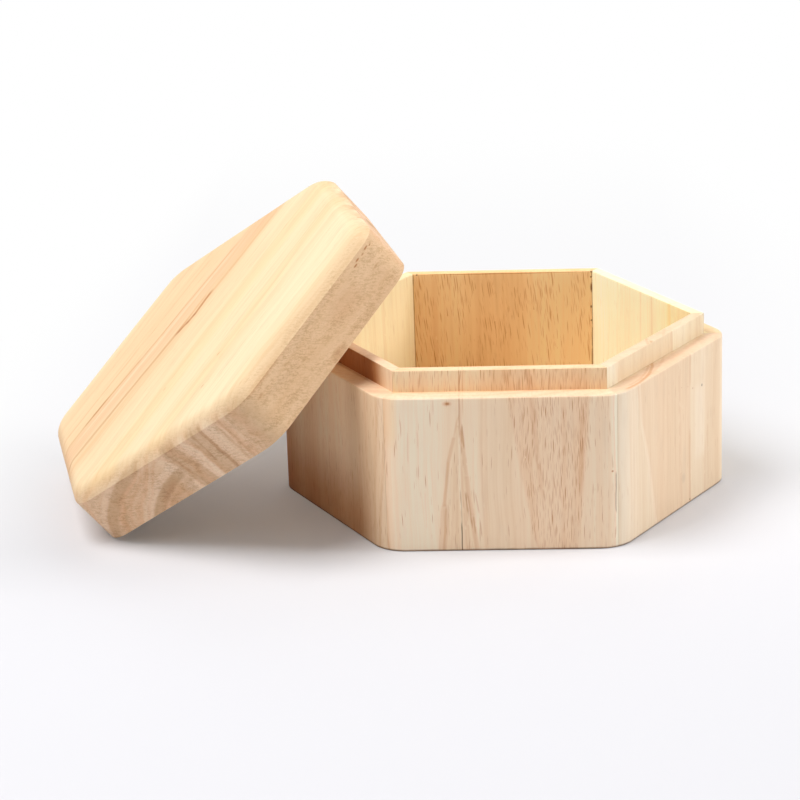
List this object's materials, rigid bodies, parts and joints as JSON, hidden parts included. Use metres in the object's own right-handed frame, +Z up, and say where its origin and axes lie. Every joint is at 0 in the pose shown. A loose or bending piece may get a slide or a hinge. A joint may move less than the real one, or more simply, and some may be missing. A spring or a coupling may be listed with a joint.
{
  "type": "hexagonal wooden box",
  "caption": "Hexagonal keepsake box of mitred timber walls with a raised inner lip, a let-in base and a thick lift-off lid leaning on it.",
  "frame": {"origin": "middle of the box's underside, on the table", "axes": "+Z up, the wall with the small knot faces -Y, the lid leans on the corner at -X"},
  "size_m": [0.2265, 0.1451, 0.0973],
  "materials": {
    "wall_front": "sanded, unvarnished, upright grain",
    "wall_front_right": "sanded, unvarnished, upright grain",
    "wall_back_right": "sanded, unvarnished, upright grain",
    "wall_back": "sanded, unvarnished, upright grain with dark pores",
    "wall_back_left": "sanded, unvarnished, upright grain",
    "wall_front_left": "sanded, unvarnished, upright grain",
    "base_panel": "sanded, unvarnished",
    "lid": "sanded, unvarnished, long grain on top and end grain on its ends"
  },
  "bodies": {
    "box": {"wall_front": "wall_front", "wall_front_right": "wall_front_right", "wall_back_right": "wall_back_right", "wall_back": "wall_back", "wall_back_left": "wall_back_left", "wall_front_left": "wall_front_left", "base_panel": "base_panel"},
    "lid": {"lid": "lid"}
  },
  "joints": [
    {"name": "lid_lift", "type": "slide", "parent": "box", "child": "lid", "axis": [0, 0, 1], "range_m": [0, 0.12]}
  ]
}
